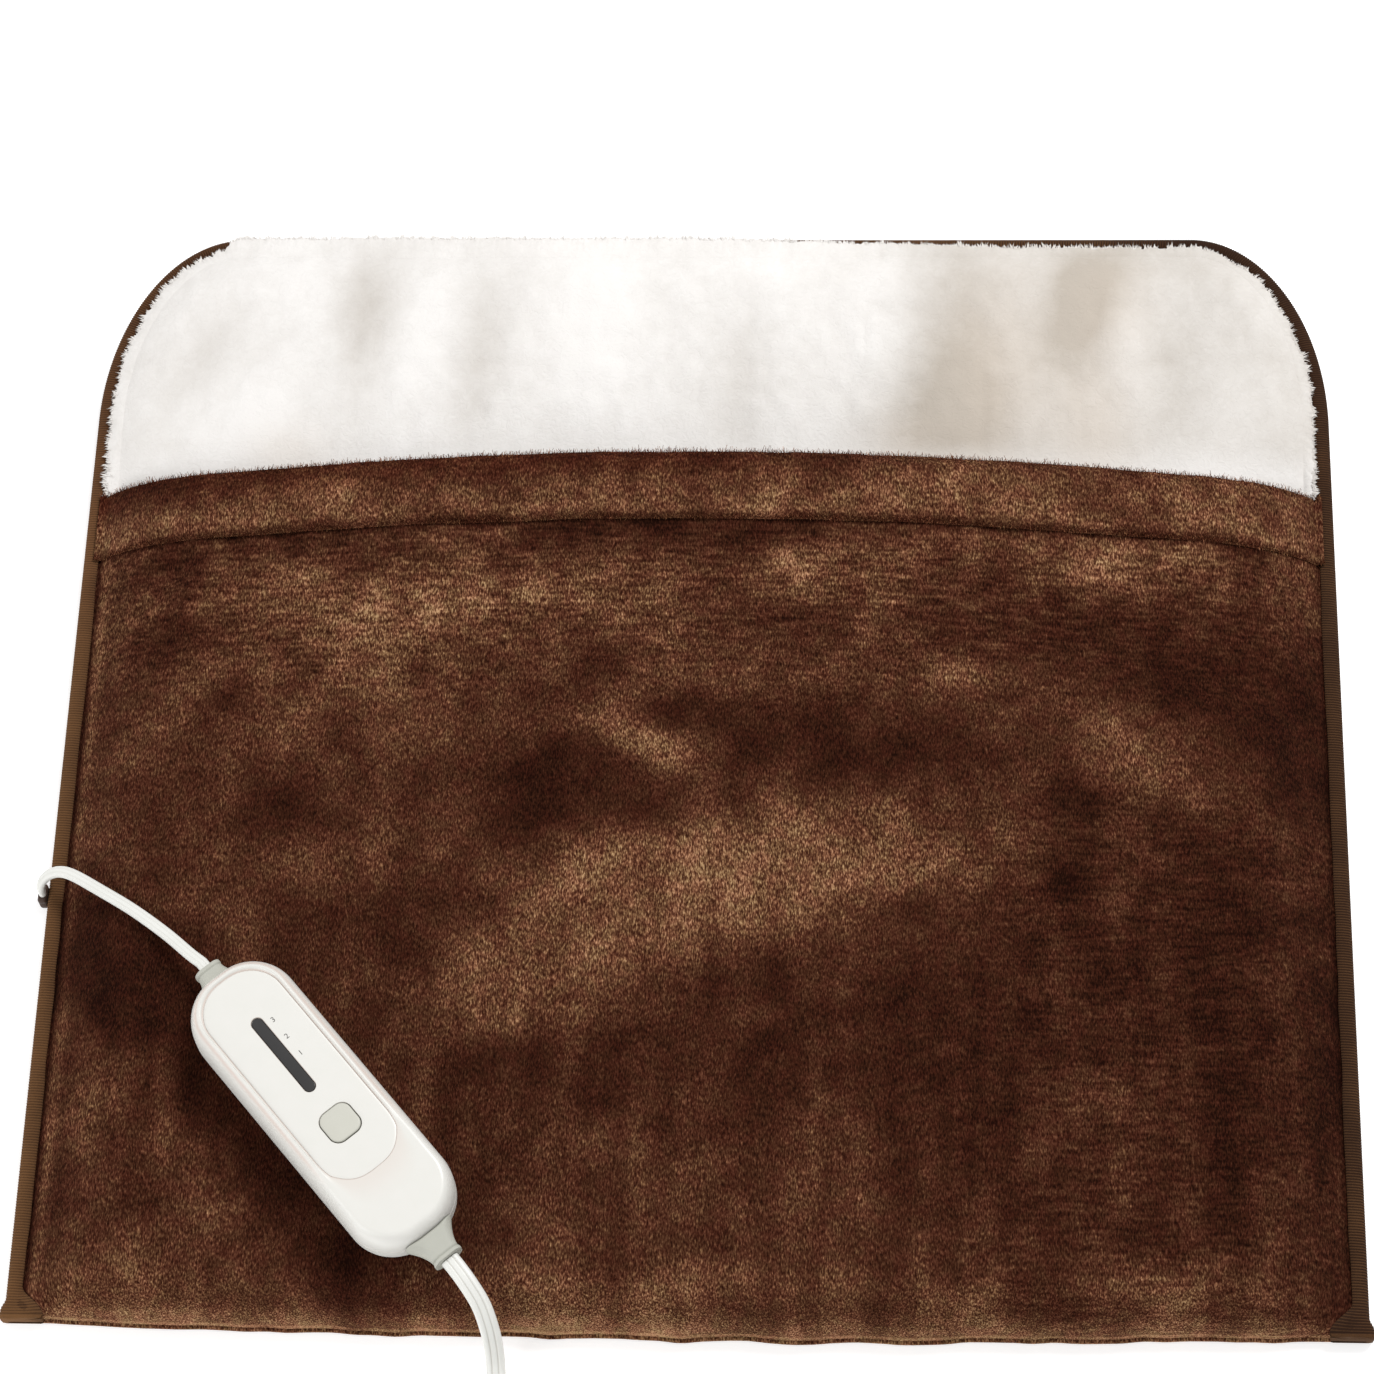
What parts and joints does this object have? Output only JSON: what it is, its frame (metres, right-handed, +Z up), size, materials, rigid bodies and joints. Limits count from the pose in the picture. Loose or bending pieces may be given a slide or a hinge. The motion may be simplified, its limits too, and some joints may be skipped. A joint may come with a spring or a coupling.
{
  "type": "electric foot warmer",
  "caption": "Flat plush foot pouch with a heated base, a fleece-lined pocket under an arched front, and a corded hand controller with a push button.",
  "frame": {"origin": "on the floor under the middle of the pouch", "axes": "+X to the right and +Y from the toe edge towards the heel side with the opening, both along the pouch's straight edges; +Z up"},
  "size_m": [0.5643, 0.6713, 0.0558],
  "materials": {
    "flannel": "short brushed pile, mottled brown",
    "binding": "overlocked brown tape",
    "sherpa": "curly white pile",
    "felt": "needled grey felt",
    "wadding": "loose white wadding",
    "heating_wire": "sleeved resistance wire",
    "shell_plastic": "satin off-white moulding",
    "plate_plastic": "satin off-white plate",
    "grey_plastic": "fine matt warm grey",
    "grey_rubber": "matt warm grey",
    "brown_rubber": "matt dark brown moulding",
    "smoked_window": "polished smoked window",
    "clear_plastic": "clear",
    "fuse_glass": "clear tube",
    "cord_vinyl": "satin near-white vinyl with grooves",
    "circuit_board": "green solder mask",
    "black_plastic": "moulded black",
    "screw_steel": "zinc plated",
    "blade_nickel": "nickel plated"
  },
  "bodies": {
    "pouch": {"base_cover": "flannel", "base_lining": "sherpa", "base_wadding": "wadding", "circuit_board": "circuit_board", "coil_tie": "black_plastic", "control_chip": "black_plastic", "controller_back_shell": "shell_plastic", "controller_front_shell": "shell_plastic", "cuff_band": "flannel", "cuff_facing": "binding", "display_window": "smoked_window", "edge_binding": "binding", "face_plate": "plate_plastic", "film_capacitor": "clear_plastic", "front_cover": "flannel", "front_lining": "sherpa", "fuse": "fuse_glass", "heater_carrier": "felt", "heating_wire": "heating_wire", "housing_screw_low_left": "screw_steel", "housing_screw_low_right": "screw_steel", "housing_screw_up_left": "screw_steel", "housing_screw_up_right": "screw_steel", "lead_entry": "brown_rubber", "lead_tail": "cord_vinyl", "led_1": "clear_plastic", "led_2": "clear_plastic", "led_3": "clear_plastic", "light_guide": "clear_plastic", "mains_cord": "cord_vinyl", "mains_cord_clamp": "black_plastic", "mains_cord_coil": "cord_vinyl", "mains_cord_inner": "cord_vinyl", "mains_cord_tail": "cord_vinyl", "mains_strain_relief": "grey_rubber", "pad_lead": "cord_vinyl", "pad_lead_clamp": "black_plastic", "pad_lead_inner": "cord_vinyl", "pad_strain_relief": "grey_rubber", "plug_blade_left": "blade_nickel", "plug_blade_right": "blade_nickel", "plug_body": "shell_plastic", "plug_strain_relief": "grey_rubber", "tact_switch": "black_plastic", "thermal_cutout": "black_plastic", "triac": "black_plastic", "wire_splice": "black_plastic"},
    "button": {"power_button": "grey_plastic"},
    "plunger": {"switch_plunger": "clear_plastic"}
  },
  "joints": [
    {"name": "power_button_press", "type": "slide", "parent": "pouch", "child": "button", "axis": [0, 0, -1], "range_m": [0, 0.0005], "stiffness_N_per_m": 1500},
    {"name": "switch_plunger_press", "type": "slide", "parent": "pouch", "child": "plunger", "axis": [0, 0, -1], "range_m": [0, 0.0005], "stiffness_N_per_m": 200}
  ],
  "couplings": [
    {"joint": "switch_plunger_press", "follows": "power_button_press", "ratio": 1}
  ]
}
